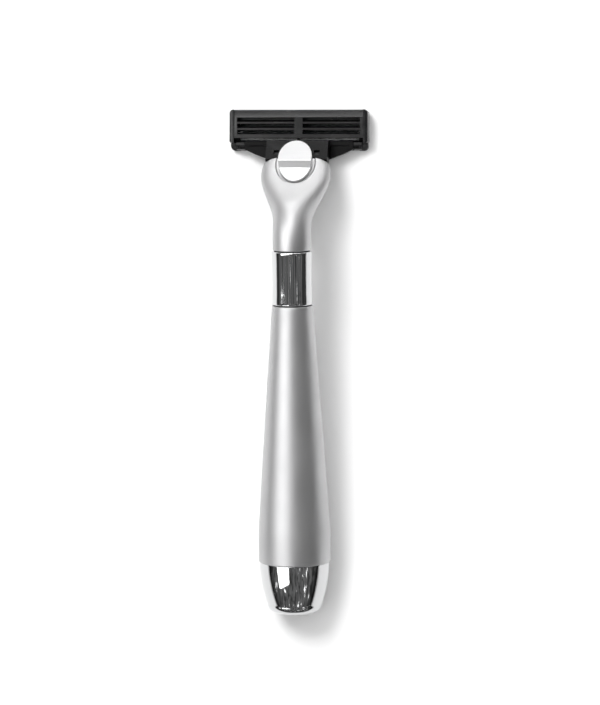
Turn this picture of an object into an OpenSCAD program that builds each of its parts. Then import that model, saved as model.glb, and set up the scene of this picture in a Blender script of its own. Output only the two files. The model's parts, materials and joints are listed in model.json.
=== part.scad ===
// Cartridge razor, lying blades down on a table, as an assembly of its real pieces.
// +Y runs from the end cap to the head, +Z is up, and z = 0 is the table. Millimetres.

/* [Overall] */
// Length of the whole razor, from the end cap to the top edge of the cartridge
overall_len = 150.2; // [149:0.2:152]
// Pitch of the handle above the table, in degrees
handle_pitch = 8; // [7.6:0.1:8.4]

/* [Handle] */
// Length of the chrome end cap
cap_len = 15.2; // [14:0.1:17]
// Radius of the end cap where it meets the body
cap_r = 10.4; // [10.2:0.05:10.6]
// Radius of the rounded corner of the end cap
cap_corner_r = 2.6; // [2.2:0.1:3]
// Length of the tapered handle body
body_len = 76.4; // [75:0.2:78]
// Length of the straight stretch at the wide end of the body
body_straight = 8.8; // [6:0.2:12]
// Radius of the body at its wide end
body_end_r = 10.65; // [10.5:0.05:11]
// Radius of the body where it meets the collar
body_top_r = 6.0; // [5.8:0.05:6.2]
// How the body tapers: 1 is a straight cone, more keeps it full for longer
taper_power = 1.05; // [1:0.01:1.2]
// Length of the chrome collar
collar_len = 15.8; // [14:0.2:17]
// Radius of the chrome collar at its ends
collar_r = 6.0; // [5.9:0.05:6.2]
// Thickness of the gaskets at both ends of the collar
gasket_t = 0.3; // [0.2:0.05:0.4]

/* [Head] */
// Radius of the neck where it meets the collar
neck_r = 5.65; // [5.5:0.05:5.8]
// Widest width of the head
head_w = 20.6; // [20:0.1:21]
// Thickness of the head at its front edge
head_t = 6.6; // [6.4:0.1:7]
// Slope of the head below the horizontal, in degrees
head_slope = 35; // [34:0.5:36]
// Radius of the bend between the neck and the head
bend_r = 15; // [13:0.5:16]
// Radius of the curved front edge of the head, seen from above
head_front_r = 43; // [41:1:46]

/* [Button] */
// Width of the release button
button_w = 10; // [9.6:0.1:10.4]
// Length of the release button
button_len = 14.4; // [14:0.1:14.6]
// Travel of the release button
button_travel = 3.5; // [3:0.1:3.5]

/* [Cartridge] */
// Width of the cartridge
cart_w = 41.5; // [41:0.1:42]
// Height of the cartridge, from the guard to the top edge
cart_h = 12.1; // [12:0.1:12.4]
// Thickness of the cartridge
cart_t = 6.6; // [6.4:0.1:6.8]
// Distance between two blades' edges
blade_pitch = 1.5; // [1.4:0.05:1.5]
// Distance between two rinse slots
slot_pitch = 1.85; // [1.8:0.05:1.9]

/* [Hidden] */
$fn = 96;
big = 80;

// --- Places along the handle's axis, from the tip of the end cap ---
body_s = cap_len;
body_gasket_s = body_s + body_len;
collar_s = body_gasket_s + gasket_t;
neck_gasket_s = collar_s + collar_len;
neck_s = neck_gasket_s + gasket_t;
edge_chamfer = 0.3;
// The tie rod, and what it clamps, inside the handle
joint_bore_r = 4.3;
sleeve_r = 4.25;
rod_r = 2;
rod_gap = 0.05;
rod_start_s = 26;
rod_end_s = neck_s + 7;
nut_s = 27.8;
nut_r = 3.8;
nut_h = 3.2;
washer_r = 4;
washer_t = 1;
weight_r = 6.1;
weight_start_s = 32;
web_s = 70;
web_bore_r = 2.3;
seat_depth = 8;
// The spigot of the end cap, with the groove of its seal
spigot_r = 8.4;
spigot_len = 5.5;
groove_r = 7.55;
groove_start = 2.6;
groove_end = 3.7;
cap_wall = 4;
cap_bore_r = 6;
seal_r = 0.45;
// The two ends of the end cap's curve
cap_tip_r = cap_r * 0.79;
cap_flat_r = cap_tip_r - cap_corner_r;
cap_tip_y = -overall_len / 2 + cap_flat_r * sin(handle_pitch) + cap_corner_r * (1 - cos(handle_pitch));
cap_tip_z = body_end_r * cos(handle_pitch) - (body_s + edge_chamfer) * sin(handle_pitch);

// --- The cartridge: its top edge, the pivot that carries it, and the nose axis above the pivot ---
cart_y = overall_len / 2;
pivot_y = cart_y - 10.9;
pivot_z = 4.2;
nose_above_pivot = 2.8;
// The nose frame's origin is on the nose axis, at the head's front edge
head_front_y = cart_y - 14.2;
nose_y = head_front_y - head_t / 2 * sin(head_slope);
nose_z = pivot_z + nose_above_pivot + (pivot_y - nose_y) * tan(head_slope);

// --- The neck's centre line: straight, then a bend, then straight down the head's slope ---
neck_y = cap_tip_y + neck_s * cos(handle_pitch);
neck_z = cap_tip_z + neck_s * sin(handle_pitch);
corner_y = (nose_z + nose_y * tan(head_slope) - neck_z + neck_y * tan(handle_pitch))
    / (tan(head_slope) + tan(handle_pitch));
bend_angle = head_slope + handle_pitch;
bend_tangent = bend_r * tan(bend_angle / 2);
straight_1 = (corner_y - neck_y) / cos(handle_pitch) - bend_tangent;
bend_len = bend_r * bend_angle * PI / 180;
straight_2 = (nose_y - corner_y) / cos(head_slope) - bend_tangent;
neck_len = straight_1 + bend_len + straight_2;

// Heading of the centre line, in degrees above the horizontal, at a distance u from the collar
function heading(u) = handle_pitch - min(bend_angle, max(0, u - straight_1) / bend_r * 180 / PI);
// Point of the centre line: along each straight stretch, and round the bend between them
function centre(u) =
    u < straight_1
        ? [neck_y + u * cos(handle_pitch), neck_z + u * sin(handle_pitch)]
        : let (bent = heading(u), past = max(0, u - straight_1 - bend_len))
            [neck_y + straight_1 * cos(handle_pitch) + bend_r * (sin(handle_pitch) - sin(bent))
                + past * cos(head_slope),
             neck_z + straight_1 * sin(handle_pitch) + bend_r * (cos(bent) - cos(handle_pitch))
                - past * sin(head_slope)];
// Smooth step from 0 at a to 1 at b
function smooth(u, a, b) = let (t = min(1, max(0, (u - a) / (b - a)))) t * t * (3 - 2 * t);

widest_u = neck_len - 4.8;
front_narrowing = 0.9;
function half_w(u) = neck_r + (head_w / 2 - neck_r) * smooth(u, 7.5, widest_u)
    - front_narrowing * pow(max(0, u - widest_u) / 4.8, 2);
function half_t(u) = neck_r + (head_t / 2 - neck_r) * smooth(u, 5, neck_len - 6);
// The section is a circle at the collar, and a flatter rounded shape at the head
function squareness(u) = 2 + 0.7 * smooth(u, 8, neck_len - 6);
function rounded(c, n) = sign(c) * pow(abs(c), 2 / n);
function section(u, sides) = [for (i = [0 : sides - 1])
    let (a = 360 * i / sides, n = squareness(u), h = heading(u), c = centre(u),
        up = half_t(u) * rounded(sin(a), n))
    [half_w(u) * rounded(cos(a), n), c[0] - up * sin(h), c[1] + up * cos(h)]];

// --- Places in the nose frame: x across, v along the nose axis, w square to both ---
nose_half_w = 6.9;
nose_len = 4.6;
nose_half_t = 1.5;
plunger_w = -0.15;
plunger_bore_r = 0.95;
plunger_tip_r = 0.6;
plunger_tip_v = 8.49;
spring_wire_r = 0.1;
button_v = -2.34;
step_low_v = -5.19;
step_high_v = -3.44;
rivet_v = -6.5;
rivet_r = 0.58;
screw_x = 5.3;
screw_v = -9.4;
screw_r = 0.6;
screw_head_r = 1.2;
screw_low_w = -3.2;
latch_x = 6;
button_base_w = 2.85;
pocket_floor_w = 2.55;
pocket_rim = 0.9;
cavity_len = 10.6;
ejector_back_v = -8.5;
ejector_front_v = -4.5;
return_spring_x = 4;
return_spring_w = -0.35;
yoke_gap = 0.15;
nose_gap = 0.25;
yoke_block_w = 18.4;
yoke_block_half_t = 2.55;
yoke_front_y = cart_y - 9.45;
wing_arc_r = 33.8;
wing_low_y = cart_y - 16;
wing_half_w = 16.2;
wing_low_z = 3.3;
wing_high_z = 5.5;
pivot_pin_r = 0.7;
running_gap = 0.05;

// --- Places in the cartridge frame: y counts down from the top edge, z up from the table ---
frame_half_w = 19.35;
slot_in_x = 1.22;
slot_out_x = 18.4;
first_slot_y = -2.4;
slot_h = 1.35;
slot_slant = 0.45;
slot_low_z = 2.5;
lobe_in_x = 17.4;
lobe_out_x = 20.6;
lobe_corner_r = 1.3;
wall_x = 18.6;
lug_x = 17.6;
lug_half_w = 1.2;
fin_half_w = 17.4;
fin_pitch = 0.65;
block_low_y = -8.5;
frame_low_z = 0.32;
pocket_z = 3;
first_edge_y = -8;
edge_z = 0.12;
blade_half_w = 17.5;
blade_tilt = 22;
blade_t = 0.1;
blade_depth = 1.25;

// Puts children on the handle's axis: local z runs up the handle from the tip of the end cap
module on_handle() {
    translate([0, cap_tip_y, cap_tip_z]) rotate([handle_pitch - 90, 0, 0]) children();
}

// Puts children in the nose frame: local y runs down the head's slope and local z stands on it
module on_nose() {
    translate([0, nose_y, nose_z]) rotate([-head_slope, 0, 0]) children();
}

// Puts children in the cartridge frame
module on_cartridge() {
    translate([0, cart_y, 0]) children();
}

// A solid of revolution round local z, from points [radius, height]
module lathe(points) {
    rotate_extrude() polygon(points);
}

// A tube round local z
module tube(r_out, r_in, from, to) {
    translate([0, 0, from]) difference() {
        cylinder(r = r_out, h = to - from);
        translate([0, 0, -1]) cylinder(r = r_in, h = to - from + 2);
    }
}

// A box from its lowest to its highest corner
module block(low, high) {
    translate(low) cube(high - low);
}

// A bar along x with the section [y, z]
module bar_x(half, points) {
    rotate([90, 0, 90]) linear_extrude(2 * half, center = true) polygon(points);
}

// A rod along local y
module rod_y(r, from, to, x = 0, z = 0) {
    translate([x, from, z]) rotate([-90, 0, 0]) cylinder(r = r, h = to - from);
}

// An oval outline, in x and local y, given by its half sizes
function oval(half_x, half_y, y) = [for (i = [0 : 47]) [half_x * cos(7.5 * i), y + half_y * sin(7.5 * i)]];

// Points of an arc round [x, y], from one angle to another
function arc(x, y, r, from, to) = [for (i = [0 : 6])
    let (a = from + (to - from) * i / 6) [x + r * cos(a), y + r * sin(a)]];

// A coil spring along local y: one six-sided tube swept round a helix
module coil_spring(coil_r, wire_r, from, to, turns, x, z) {
    per_turn = 10;
    sides = 6;
    steps = turns * per_turn;
    rise = to - from - 2 * wire_r;
    points = [for (i = [0 : steps], k = [0 : sides - 1])
        let (a = 360 * i / per_turn, b = 360 * k / sides, r = coil_r + wire_r * cos(b))
        [x + r * cos(a), from + wire_r + rise * i / steps + wire_r * sin(b), z + r * sin(a)]];
    walls = [for (i = [0 : steps - 1], k = [0 : sides - 1])
        let (a = i * sides + k, b = i * sides + (k + 1) % sides) [a, b, b + sides, a + sides]];
    ends = [[for (k = [sides - 1 : -1 : 0]) k], [for (k = [0 : sides - 1]) steps * sides + k]];
    polyhedron(points, concat(walls, ends), convexity = 10);
}

// ===== Handle =====

module end_cap() {
    curve = [for (i = [0 : 12]) let (t = 1 - i / 12, s = cap_corner_r + (cap_len - cap_corner_r) * (1 - t))
        [cap_flat_r + cap_corner_r + (cap_r - cap_tip_r) * (1 - t * t), s]];
    corner = [for (i = [0 : 12]) let (a = 7.5 * i)
        [cap_flat_r + cap_corner_r * sin(a), cap_corner_r * (1 - cos(a))]];
    spigot = [[spigot_r, cap_len], [spigot_r, cap_len + groove_start], [groove_r, cap_len + groove_start],
        [groove_r, cap_len + groove_end], [spigot_r, cap_len + groove_end], [spigot_r, cap_len + spigot_len],
        [cap_bore_r, cap_len + spigot_len], [cap_bore_r, cap_wall], [0, cap_wall]];
    color("silver") on_handle() lathe(concat([[0, 0]], corner, curve, spigot));
}

module cap_o_ring() {
    color("#222222") on_handle() translate([0, 0, cap_len + (groove_start + groove_end) / 2]) rotate_extrude()
        translate([groove_r + seal_r + 0.02, 0]) circle(r = seal_r);
}

module handle_body() {
    taper_len = body_len - body_straight;
    outside = [for (i = [0 : 16]) let (u = i / 16)
        [body_end_r - (body_end_r - body_top_r) * pow(u, taper_power),
         body_s + body_straight + taper_len * u]];
    seat_s = body_gasket_s - seat_depth;
    mouth_r = 8.5;
    mouth_s = body_s + 6.5;
    weight_bore_r = 6.2;
    color("#b9bbbd") on_handle() lathe(concat(
        [[mouth_r, body_s], [body_end_r - edge_chamfer, body_s], [body_end_r, body_s + edge_chamfer]],
        outside,
        [[joint_bore_r, body_gasket_s], [joint_bore_r, seat_s], [web_bore_r, seat_s], [web_bore_r, web_s],
         [weight_bore_r, web_s], [weight_bore_r, mouth_s], [mouth_r, mouth_s]]));
}

module balance_weight() {
    color("#b08d3c") on_handle() tube(weight_r, web_bore_r, weight_start_s, web_s - rod_gap);
}

module lock_washer() {
    color("#9a9c9e") on_handle() tube(washer_r, 2.2, weight_start_s - washer_t, weight_start_s);
}

module tie_nut() {
    color("#8c8e90") on_handle() translate([0, 0, nut_s]) difference() {
        cylinder(r = nut_r, h = nut_h, $fn = 6);
        translate([0, 0, -1]) cylinder(r = rod_r + rod_gap, h = nut_h + 2);
    }
}

module tie_rod() {
    color("#8c8e90") on_handle() translate([0, 0, rod_start_s])
        cylinder(r = rod_r, h = rod_end_s - rod_start_s);
}

module centring_sleeve() {
    color("#77797b") on_handle() tube(sleeve_r, 2.1, body_gasket_s - seat_depth + 0.1, neck_s + 3.9);
}

module body_gasket() {
    color("#222222") on_handle() tube(body_top_r - 0.2, joint_bore_r, body_gasket_s, collar_s);
}

module neck_gasket() {
    color("#222222") on_handle() tube(neck_r - 0.15, joint_bore_r, neck_gasket_s, neck_s);
}

module collar_ring() {
    waist = 0.1;
    outside = [for (i = [0 : 8]) let (u = i / 8)
        [collar_r - waist * sin(180 * u), collar_s + edge_chamfer + (collar_len - 2 * edge_chamfer) * u]];
    color("silver") on_handle() lathe(concat([[joint_bore_r, collar_s], [collar_r - edge_chamfer, collar_s]],
        outside, [[collar_r - edge_chamfer, neck_gasket_s], [joint_bore_r, neck_gasket_s]]));
}

// ===== Neck and head =====

module neck_skin() {
    sides = 32;
    rings = 26;
    reach = neck_len + 3;
    points = [for (i = [0 : rings]) each section(reach * i / rings, sides)];
    walls = [for (i = [0 : rings - 1], k = [0 : sides - 1])
        let (a = i * sides + k, b = i * sides + (k + 1) % sides) [b, a, a + sides, b + sides]];
    ends = [[for (k = [0 : sides - 1]) k], [for (k = [sides - 1 : -1 : 0]) rings * sides + k]];
    polyhedron(points, concat(walls, ends), convexity = 4);
}

module neck_shell() {
    color("#b9bbbd") difference() {
        intersection() {
            neck_skin();
            on_nose() translate([0, -head_front_r, -big / 2]) cylinder(r = head_front_r, h = big);
        }
        on_nose() {
            block([-7, -cavity_len, -2], [7, 2, 1.6]);
            block([-8.4, -6.7, -1], [8.4, 2, 1.45]);
            translate([0, 0, pocket_floor_w]) linear_extrude(6)
                polygon(oval(button_w / 2 + pocket_rim, button_len / 2 + pocket_rim, button_v));
            block([-1.9, -7.7, 1], [1.9, -5.4 + button_travel, 4]);
            for (x = [-screw_x, screw_x]) translate([x, screw_v, -6]) {
                cylinder(r = screw_r + running_gap, h = 6);
                cylinder(r = screw_head_r + 0.1, h = 3.5);
            }
        }
        on_handle() {
            translate([0, 0, neck_s - 1]) cylinder(r = joint_bore_r, h = 5);
            translate([0, 0, neck_s]) cylinder(r = rod_r + rod_gap, h = 7.5);
        }
    }
}

module nose_block() {
    channel_r = 0.85;
    color("#262626") on_nose() difference() {
        union() {
            block([-nose_half_w, -cavity_len + 0.1, -1.95], [nose_half_w, -0.7, 0.9]);
            bar_x(nose_half_w, [[-0.8, -nose_half_t], [nose_len - 0.5, -nose_half_t], [nose_len, -1],
                [nose_len, 1], [nose_len - 0.5, nose_half_t], [-0.8, nose_half_t]]);
            for (x = [-latch_x, latch_x]) block([x - 0.6, 1.4, 1.4], [x + 0.6, 2.4, 1.65]);
        }
        rod_y(plunger_bore_r, -cavity_len - 1, 3.4, 0, plunger_w);
        rod_y(plunger_tip_r + running_gap, 3, nose_len + 1, 0, plunger_w);
        for (side = [-1, 1]) translate([side * return_spring_x, 0, 0])
            block([-channel_r, -8.6, return_spring_w - channel_r], [channel_r, -1.5, 1]);
        for (x = [-screw_x, screw_x]) translate([x, screw_v, -3]) cylinder(r = screw_r + 0.02, h = 3.2);
    }
}

module nose_screws() {
    color("#8c8e90") on_nose() for (x = [-screw_x, screw_x])
        translate([x, screw_v, screw_low_w]) difference() {
            union() {
                cylinder(r = screw_r, h = 3.3);
                cylinder(r = screw_head_r, h = 0.7);
            }
            translate([0, 0, -1]) cylinder(r = 0.55, h = 1.4, $fn = 6);
        }
}

module spring_plug() {
    color("#8c8e90") on_nose() rod_y(0.93, -6.2, -4.7, 0, plunger_w);
}

module plunger_spring() {
    color("#9a9c9e") on_nose() coil_spring(0.68, 0.12, -4.7, 0.8, 8, 0, plunger_w);
}

module button_spring(side) {
    color("#9a9c9e") on_nose()
        coil_spring(0.6, spring_wire_r, -7.55, -1.55, 8, side * return_spring_x, return_spring_w);
}

module plunger() {
    color("#303030") on_nose() {
        rod_y(0.9, 0.85, 1.85, 0, plunger_w);
        rod_y(plunger_tip_r, 1.8, plunger_tip_v, 0, plunger_w);
        translate([0, plunger_tip_v, plunger_w]) sphere(r = plunger_tip_r);
    }
}

// ===== Release button =====

module release_button() {
    half = button_len / 2;
    back = button_v - half;
    front = button_v + half;
    color("#d5d6d7") on_nose() difference() {
        intersection() {
            linear_extrude(8) polygon(oval(button_w / 2, half, button_v));
            bar_x(button_w, [[back, button_base_w], [front, button_base_w], [front, 4.4],
                [step_high_v, 5.6], [step_low_v, 3.9], [back, 3.5]]);
        }
        translate([0, rivet_v, 2]) cylinder(r = rivet_r + 0.02, h = 1.3);
    }
}

module button_rivet() {
    color("#8c8e90") on_nose() translate([0, rivet_v, 0.95]) cylinder(r = rivet_r, h = 2.3);
}

module ejector_fork() {
    color("#303030") on_nose() difference() {
        union() {
            block([-6.8, ejector_back_v, 0.95], [6.8, ejector_front_v, 1.5]);
            block([-7.5, -6.5, 0.95], [7.5, ejector_front_v, 1.35]);
            for (side = [-1, 1]) block([side * 7.65 - 0.65, -6.5, -0.9], [side * 7.65 + 0.65, -0.78, 1.35]);
            block([-1.8, -7.5, 1.4], [1.8, -5.5, button_base_w]);
            for (side = [-1, 1]) translate([side * return_spring_x, 0, 0])
                block([-0.7, -8.4, -1.1], [0.7, -7.6, 1]);
        }
        translate([0, rivet_v, -1]) cylinder(r = rivet_r + 0.02, h = 6);
    }
}

// ===== Yoke that carries the cartridge =====

module yoke() {
    wall_x = 1.7;
    color("#1c1c1c") difference() {
        union() {
            intersection() {
                translate([0, wing_low_y + wing_arc_r, wing_low_z])
                    cylinder(r = wing_arc_r, h = wing_high_z - wing_low_z);
                block([-wing_half_w, wing_low_y - 1, 0], [wing_half_w, yoke_front_y, 9]);
            }
            intersection() {
                on_nose() difference() {
                    block([-yoke_block_w / 2, -2, -yoke_block_half_t],
                        [yoke_block_w / 2, 12, yoke_block_half_t]);
                    translate([0, -head_front_r, -5]) cylinder(r = head_front_r + yoke_gap, h = 10);
                }
                block([-big, -big, wing_low_z], [big, yoke_front_y, big]);
            }
            translate([0, pivot_y, pivot_z]) rotate([0, 90, 0])
                cylinder(r = pivot_pin_r, h = 2 * (wing_half_w + 1.5), center = true);
        }
        on_nose() {
            block([-nose_half_w - nose_gap, -3, -nose_half_t - nose_gap],
                [nose_half_w + nose_gap, nose_len + 0.35, nose_half_t + nose_gap]);
            for (x = [-latch_x, latch_x]) block([x - wall_x / 2, 1.1, 1], [x + wall_x / 2, 2.7, 4]);
            rod_y(1, 4, 12, 0, plunger_w);
        }
    }
}

// ===== Cartridge =====

// The guard's end, with its outer corner rounded
module guard_lobe() {
    corner = arc(lobe_out_x - lobe_corner_r, lobe_corner_r - cart_h, lobe_corner_r, -90, 0);
    intersection() {
        linear_extrude(cart_t) polygon(concat([[lobe_in_x, -9.9], [lobe_in_x, 0.5 - cart_h],
            [lobe_in_x + 0.5, -cart_h]], corner, [[lobe_out_x, -9.9]]));
        bar_x(cart_w / 2, [[-9.8, frame_low_z], [-9.8, 3.6], [-10.5, 3.6], [-cart_h, 1.9],
            [-cart_h, frame_low_z]]);
    }
}

module cartridge_frame() {
    color("#202020") on_cartridge() difference() {
        union() {
            // Slotted block, with its top edge chamfered twice
            bar_x(frame_half_w, [[block_low_y, frame_low_z], [-0.3, frame_low_z], [0, 1], [0, 4.6],
                [-0.85, 5.5], [-2.3, cart_t], [block_low_y, cart_t]]);
            // Guard bar and the walls that join it to the block
            bar_x(frame_half_w, [[-8.9, 0.9], [-8.9, 1.2], [-9.5, 2], [-cart_h + 0.1, 2],
                [-cart_h + 0.1, 0.9]]);
            for (side = [-1, 1]) {
                mirror([side < 0 ? 1 : 0, 0, 0]) guard_lobe();
                translate([side * wall_x, 0, 0]) bar_x(0.75, [[-8.3, frame_low_z], [-8.3, 3.6], [-8.9, 3],
                    [-10, 2.4], [-10, frame_low_z]]);
                // Lug that holds the yoke's pivot pin
                translate([side * lug_x, 0, 0]) bar_x(lug_half_w, [[-9.8, 0.9], [-9.8, 5.2], [-10.55, 5.2],
                    [-11.75, 4.45], [-12, 3.9], [-12, 0.9]]);
            }
        }
        // Pocket for the blades, and the channel for the lubricating strip
        block([-18.3, block_low_y - 0.3, -1], [18.3, -3, pocket_z]);
        block([-blade_half_w, -3.2, -1], [blade_half_w, -0.5, 0.8]);
        // Rinse slots in two columns
        for (side = [-1, 1], row = [0 : 2])
            translate([side * (slot_in_x + slot_out_x) / 2, first_slot_y - row * slot_pitch, 0])
                bar_x((slot_out_x - slot_in_x) / 2, [[0, cart_t + 1], [0, slot_low_z],
                    [-slot_slant, slot_low_z], [-slot_h, cart_t - 0.1], [-slot_h, cart_t + 1]]);
        // Seats for the yoke's pivot pins
        for (side = [-1, 1]) translate([side * (wing_half_w + 0.1), pivot_y - cart_y, pivot_z])
            rotate([0, side * 90, 0]) cylinder(r = pivot_pin_r + running_gap, h = 1.6);
    }
}

module guard_fins() {
    color("#30343a") on_cartridge() {
        block([-fin_half_w, -cart_h + 0.25, 0.45], [fin_half_w, -9, 0.9]);
        for (i = [0 : 4]) translate([0, -cart_h + 0.25 + fin_pitch * i, 0])
            block([-fin_half_w, 0, 0], [fin_half_w, 0.35, 0.46]);
    }
}

module lubricating_strip() {
    color("#cfd6cf") on_cartridge() bar_x(blade_half_w - running_gap, [[-2.95, 0.78], [-2.95, 0.15],
        [-2.6, 0], [-0.9, 0], [-0.55, 0.2], [-0.55, 0.78]]);
}

module end_clip(side) {
    inner = frame_half_w;
    outer = cart_w / 2;
    low_y = -9.9;
    high_y = -0.05;
    high_z = cart_t + 0.3;
    plan = concat([[inner, high_y], [inner, low_y], [outer - 0.4, low_y], [outer, low_y + 0.4]],
        arc(outer - 1.2, high_y - 1.2, 1.2, 0, 90));
    across = concat([[inner, 0.33], [outer - 0.5, 0.33]], arc(outer - 0.6, 0.93, 0.6, -75, 0),
        arc(outer - 0.6, high_z - 0.6, 0.6, 0, 90), [[inner, high_z]]);
    color("#181818") on_cartridge() mirror([side < 0 ? 1 : 0, 0, 0]) intersection() {
        linear_extrude(10) polygon(plan);
        translate([0, 1, 0]) rotate([90, 0, 0]) linear_extrude(12) polygon(across);
    }
}

module blade(n) {
    color("#c8ccd0") on_cartridge() translate([0, first_edge_y + n * blade_pitch, edge_z])
        rotate([blade_tilt, 0, 0])
            bar_x(blade_half_w, [[0, 0], [blade_depth, 0], [blade_depth, blade_t], [0.3, blade_t]]);
}

module blade_support(n) {
    color("#9a9ea2") on_cartridge() translate([0, first_edge_y + n * blade_pitch, edge_z])
        bar_x(blade_half_w + 0.75, [[0.35, 0.26], [1.2, 0.6], [1.4, 0.75], [1.4, 2.3], [1.15, 2.3],
            [1.15, 0.9], [0.3, 0.56]]);
}

neck_shell();
nose_block();
nose_screws();
plunger_spring();
spring_plug();
button_spring(-1);  // button_spring_left
button_spring(1);  // button_spring_right
collar_ring();
neck_gasket();
body_gasket();
centring_sleeve();
handle_body();
tie_rod();
lock_washer();
tie_nut();
balance_weight();
end_cap();
cap_o_ring();
release_button();
ejector_fork();
button_rivet();
plunger();
yoke();
cartridge_frame();
guard_fins();
lubricating_strip();
end_clip(-1);  // end_clip_left
end_clip(1);  // end_clip_right
blade(0);  // blade_1
blade(1);  // blade_2
blade(2);  // blade_3
blade_support(0);  // blade_support_1
blade_support(1);  // blade_support_2
blade_support(2);  // blade_support_3
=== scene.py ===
"""The cartridge razor's looks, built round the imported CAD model.

Every shape is drawn in millimetres in one of three local frames: the handle's, the nose's or the cartridge's.
place() then puts it in the row frame, in metres.
"""

import json
import math

import bmesh
import bpy
from mathutils import Matrix, Vector


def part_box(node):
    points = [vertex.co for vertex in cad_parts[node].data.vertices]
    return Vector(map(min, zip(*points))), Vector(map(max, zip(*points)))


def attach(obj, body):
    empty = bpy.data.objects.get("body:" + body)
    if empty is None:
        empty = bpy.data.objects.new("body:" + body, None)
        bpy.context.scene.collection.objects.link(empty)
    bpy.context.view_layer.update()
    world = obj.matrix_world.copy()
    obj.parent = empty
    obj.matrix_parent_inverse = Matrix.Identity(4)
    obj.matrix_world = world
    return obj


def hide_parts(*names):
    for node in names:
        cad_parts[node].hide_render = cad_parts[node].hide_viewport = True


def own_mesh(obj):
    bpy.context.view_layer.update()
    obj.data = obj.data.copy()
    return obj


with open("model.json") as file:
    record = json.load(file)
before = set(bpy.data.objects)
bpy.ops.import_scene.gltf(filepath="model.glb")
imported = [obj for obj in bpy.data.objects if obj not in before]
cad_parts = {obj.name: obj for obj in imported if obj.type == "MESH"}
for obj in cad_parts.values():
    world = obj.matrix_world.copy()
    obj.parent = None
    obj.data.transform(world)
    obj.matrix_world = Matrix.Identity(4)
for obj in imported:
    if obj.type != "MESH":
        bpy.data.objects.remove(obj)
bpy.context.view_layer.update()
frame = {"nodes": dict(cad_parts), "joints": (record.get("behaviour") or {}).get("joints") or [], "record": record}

MM = 0.001
record = frame["record"]
mounts = {m["name"]: m for m in record["mounts"]}
joints = {j["name"]: j for j in frame["joints"]}

# ---------------------------------------------------------------- frames


def frame_matrix(origin, x, y, z):
    """A matrix whose columns are a local frame's axes and origin, in millimetres."""
    rows = [[x[i], y[i], z[i], origin[i]] for i in range(3)]
    return Matrix([*rows, [0, 0, 0, 1]])


X_AXIS = Vector((1, 0, 0))

# Handle: local z runs up the handle from the tip of the end cap, and local y points away from the table
cap_tip = Vector(mounts["cap_base"]["pos_m"]) / MM
up_handle = -Vector(mounts["cap_base"]["axis"]).normalized()
HANDLE = frame_matrix(cap_tip, -X_AXIS, up_handle.cross(-X_AXIS), up_handle)
handle_pitch = math.atan2(up_handle.z, up_handle.y)

# Nose: local y runs down the head's slope, and local z stands on it
down_slope = Vector(joints["release_slide"]["axis"]).normalized()
head_slope = math.atan2(-down_slope.z, down_slope.y)
pivot = Vector(joints["cartridge_pivot"]["pos_m"]) / MM
cart_top_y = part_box("cartridge_frame")[1].y / MM
head_t = 6.6
head_front_from_top = 14.2
head_front_y = cart_top_y - head_front_from_top
nose_above_pivot = 2.8
nose_y = head_front_y - head_t / 2 * math.sin(head_slope)
nose_z = pivot.z + nose_above_pivot + (pivot.y - nose_y) * math.tan(head_slope)
nose_origin = Vector((0, nose_y, nose_z))
NOSE = frame_matrix(nose_origin, X_AXIS, down_slope, X_AXIS.cross(down_slope))

# Cartridge: y counts down from its top edge, and z up from the table
CARTRIDGE = Matrix.Translation((0, cart_top_y, 0))


def along_handle(node):
    """Lowest and highest place of a CAD node along the handle's axis, in millimetres."""
    inverse = HANDLE.inverted()
    places = [(inverse @ (v.co / MM)).z for v in frame["nodes"][node].data.vertices]
    return min(places), max(places)


# ---------------------------------------------------------------- mesh tools


def mesh_object(name, points, faces, matrix=None):
    """An object from points and faces, in millimetres. Its normals face outwards."""
    mesh = bpy.data.meshes.new(name)
    mesh.from_pydata([tuple(p) for p in points], [], faces)
    if matrix is not None:
        mesh.transform(matrix)
    made = bpy.data.objects.new(name, mesh)
    bpy.context.scene.collection.objects.link(made)
    tidy_mesh(made)
    return made


def tidy_mesh(target, merge=0.0005):
    """Merges doubled points and turns every face outwards."""
    work = bmesh.new()
    work.from_mesh(target.data)
    bmesh.ops.remove_doubles(work, verts=work.verts, dist=merge)
    bmesh.ops.recalc_face_normals(work, faces=work.faces)
    work.to_mesh(target.data)
    work.free()


def lathe(name, profile, sides=160):
    """A solid of revolution in the handle's frame, from a closed outline of (radius, height) points."""
    points, faces = [], []
    count = len(profile)
    for i in range(sides):
        a = 2 * math.pi * i / sides
        points += [(r * math.cos(a), r * math.sin(a), s) for r, s in profile]
    for i in range(sides):
        a, b = i * count, (i + 1) % sides * count
        for k in range(count):
            n = (k + 1) % count
            if profile[k][0] > 0 or profile[n][0] > 0:
                faces.append((a + k, b + k, b + n, a + n))
    return mesh_object(name, points, faces, HANDLE)


def loft(name, rings, matrix=None):
    """A closed solid through rings that all have the same number of points."""
    count = len(rings[0])
    points = [p for ring in rings for p in ring]
    faces = []
    for i in range(len(rings) - 1):
        for k in range(count):
            a, b = i * count + k, i * count + (k + 1) % count
            faces.append((a, b, b + count, a + count))
    faces.append(tuple(range(count)))
    faces.append(tuple((len(rings) - 1) * count + k for k in range(count)))
    return mesh_object(name, points, faces, matrix)


def prism(outline, low, high, matrix, along="z"):
    """An outline of two coordinates extruded between two values of the third one."""
    order = {"x": lambda a, b, c: (c, a, b), "y": lambda a, b, c: (a, c, b), "z": lambda a, b, c: (a, b, c)}
    ring = lambda c: [order[along](a, b, c) for a, b in outline]
    return loft("prism", [ring(low), ring(high)], matrix)


def block(low, high, matrix):
    """A box from its lowest to its highest corner."""
    outline = [(low[0], low[1]), (high[0], low[1]), (high[0], high[1]), (low[0], high[1])]
    return prism(outline, low[2], high[2], matrix)


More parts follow.
